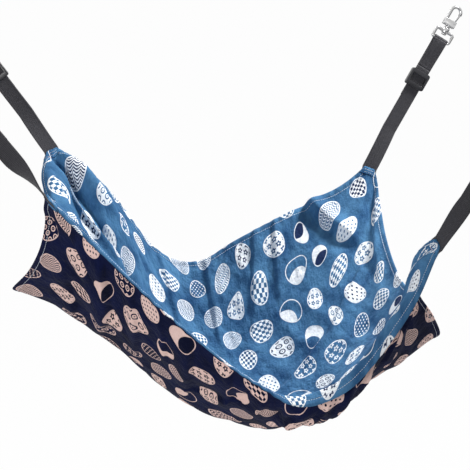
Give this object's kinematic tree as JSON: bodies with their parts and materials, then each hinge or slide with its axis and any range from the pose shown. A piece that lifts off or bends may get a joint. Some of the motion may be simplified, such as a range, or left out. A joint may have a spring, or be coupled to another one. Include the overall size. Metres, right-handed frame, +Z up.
{
  "type": "cat hammock",
  "caption": "Two-layer printed cloth hammock for a cage, hung at its corners by adjustable webbing straps with swivel hooks, sagging into a lying hollow.",
  "frame": {"origin": "middle of the level rectangle of the four points where the hooks bear on what they hang from", "axes": "+X to the picture's right along the longer side, +Y away from the viewer, +Z up"},
  "size_m": [0.6833, 0.411, 0.5012],
  "materials": {
    "inner_cloth": "matte printed cotton, mid blue with white motifs",
    "outer_cloth": "matte printed cotton, navy with pale pink motifs",
    "webbing": "ribbed charcoal webbing",
    "slider_plastic": "glossy black",
    "hook_steel": "bright plated steel"
  },
  "bodies": {
    "hammock": {"inner_panel": "inner_cloth", "outer_panel": "outer_cloth", "front_hem": "inner_cloth", "back_hem": "inner_cloth", "inner_left_hem": "inner_cloth", "outer_left_hem": "outer_cloth", "inner_right_hem": "inner_cloth", "outer_right_hem": "outer_cloth", "front_left_strap": "webbing", "front_left_strap_front_layer": "webbing", "back_left_strap": "webbing", "back_left_strap_front_layer": "webbing", "back_right_strap": "webbing", "back_right_strap_front_layer": "webbing", "front_right_strap": "webbing", "front_right_strap_front_layer": "webbing"},
    "front_left_carrier": {"front_left_strap_return": "webbing"},
    "front_left_slider": {"front_left_slider": "slider_plastic"},
    "front_left_eye": {"front_left_eye": "hook_steel"},
    "front_left_hook": {"front_left_hook": "hook_steel", "front_left_gate_pin": "hook_steel"},
    "front_left_gate": {"front_left_gate": "hook_steel"},
    "back_left_carrier": {"back_left_strap_return": "webbing"},
    "back_left_slider": {"back_left_slider": "slider_plastic"},
    "back_left_eye": {"back_left_eye": "hook_steel"},
    "back_left_hook": {"back_left_hook": "hook_steel", "back_left_gate_pin": "hook_steel"},
    "back_left_gate": {"back_left_gate": "hook_steel"},
    "back_right_carrier": {"back_right_strap_return": "webbing"},
    "back_right_slider": {"back_right_slider": "slider_plastic"},
    "back_right_eye": {"back_right_eye": "hook_steel"},
    "back_right_hook": {"back_right_hook": "hook_steel", "back_right_gate_pin": "hook_steel"},
    "back_right_gate": {"back_right_gate": "hook_steel"},
    "front_right_carrier": {"front_right_strap_return": "webbing"},
    "front_right_slider": {"front_right_slider": "slider_plastic"},
    "front_right_eye": {"front_right_eye": "hook_steel"},
    "front_right_hook": {"front_right_hook": "hook_steel", "front_right_gate_pin": "hook_steel"},
    "front_right_gate": {"front_right_gate": "hook_steel"}
  },
  "joints": [
    {"name": "front_left_length", "type": "slide", "parent": "hammock", "child": "front_left_carrier", "axis": [0.5868, 0.148, -0.7961], "range_m": [0, 0.016], "deforming": ["front_left_strap_front_layer"]},
    {"name": "front_left_slider_slide", "type": "slide", "parent": "hammock", "child": "front_left_slider", "axis": [-0.5868, -0.148, 0.7961], "range_m": [-0.015, 0.005]},
    {"name": "front_left_eye_swing", "type": "hinge", "parent": "front_left_carrier", "child": "front_left_eye", "pos_m": [-0.30759, -0.19609, -0.03718], "axis": [0.8049, 0, 0.5934], "range_deg": [-60, 60]},
    {"name": "front_left_swivel", "type": "hinge", "parent": "front_left_eye", "child": "front_left_hook", "pos_m": [-0.30759, -0.19609, -0.03718], "axis": [-0.5868, -0.148, 0.7961], "continuous": true},
    {"name": "front_left_gate_pivot", "type": "hinge", "parent": "front_left_hook", "child": "front_left_gate", "pos_m": [-0.31942, -0.20009, -0.01272], "axis": [0.0878, -0.989, -0.1191], "range_deg": [0, 35], "stiffness_Nm_per_rad": 0.01, "springref_deg": -34.38},
    {"name": "back_left_length", "type": "slide", "parent": "hammock", "child": "back_left_carrier", "axis": [0.5869, -0.1362, -0.7981], "range_m": [0, 0.016], "deforming": ["back_left_strap_front_layer"]},
    {"name": "back_left_slider_slide", "type": "slide", "parent": "hammock", "child": "back_left_slider", "axis": [-0.5869, 0.1362, 0.7981], "range_m": [-0.015, 0.005]},
    {"name": "back_left_eye_swing", "type": "hinge", "parent": "back_left_carrier", "child": "back_left_eye", "pos_m": [-0.30759, 0.19664, -0.03727], "axis": [0.8057, 0, 0.5924], "range_deg": [-60, 60]},
    {"name": "back_left_swivel", "type": "hinge", "parent": "back_left_eye", "child": "back_left_hook", "pos_m": [-0.30759, 0.19664, -0.03727], "axis": [-0.5869, 0.1362, 0.7981], "continuous": true},
    {"name": "back_left_gate_pivot", "type": "hinge", "parent": "back_left_hook", "child": "back_left_gate", "pos_m": [-0.31941, 0.20032, -0.01276], "axis": [-0.0807, -0.9907, 0.1097], "range_deg": [0, 35], "stiffness_Nm_per_rad": 0.01, "springref_deg": -34.38},
    {"name": "back_right_length", "type": "slide", "parent": "hammock", "child": "back_right_carrier", "axis": [-0.515, -0.1195, -0.8488], "range_m": [0, 0.033], "deforming": ["back_right_strap_front_layer"]},
    {"name": "back_right_slider_slide", "type": "slide", "parent": "hammock", "child": "back_right_slider", "axis": [0.515, 0.1195, 0.8488], "range_m": [-0.015, 0.005]},
    {"name": "back_right_eye_swing", "type": "hinge", "parent": "back_right_carrier", "child": "back_right_eye", "pos_m": [0.31095, 0.19742, -0.03964], "axis": [0.8549, 0, -0.5188], "range_deg": [-60, 60]},
    {"name": "back_right_swivel", "type": "hinge", "parent": "back_right_eye", "child": "back_right_hook", "pos_m": [0.31095, 0.19742, -0.03964], "axis": [0.515, 0.1195, 0.8488], "continuous": true},
    {"name": "back_right_gate_pivot", "type": "hinge", "parent": "back_right_hook", "child": "back_right_gate", "pos_m": [0.32913, 0.20065, -0.01931], "axis": [0.062, -0.9928, 0.1022], "range_deg": [0, 35], "stiffness_Nm_per_rad": 0.01, "springref_deg": -34.38},
    {"name": "front_right_length", "type": "slide", "parent": "hammock", "child": "front_right_carrier", "axis": [-0.4585, 0.1156, -0.8811], "range_m": [0, 0.035], "deforming": ["front_right_strap_front_layer"]},
    {"name": "front_right_slider_slide", "type": "slide", "parent": "hammock", "child": "front_right_slider", "axis": [0.4585, -0.1156, 0.8811], "range_m": [-0.015, 0.005]},
    {"name": "front_right_eye_swing", "type": "hinge", "parent": "front_right_carrier", "child": "front_right_eye", "pos_m": [0.31359, -0.1976, -0.04115], "axis": [0.8871, 0, -0.4616], "range_deg": [-60, 60]},
    {"name": "front_right_swivel", "type": "hinge", "parent": "front_right_eye", "child": "front_right_hook", "pos_m": [0.31359, -0.1976, -0.04115], "axis": [0.4585, -0.1156, 0.8811], "continuous": true},
    {"name": "front_right_gate_pivot", "type": "hinge", "parent": "front_right_hook", "child": "front_right_gate", "pos_m": [0.3304, -0.20072, -0.01967], "axis": [-0.0534, -0.9933, -0.1026], "range_deg": [0, 35], "stiffness_Nm_per_rad": 0.01, "springref_deg": -34.38}
  ]
}
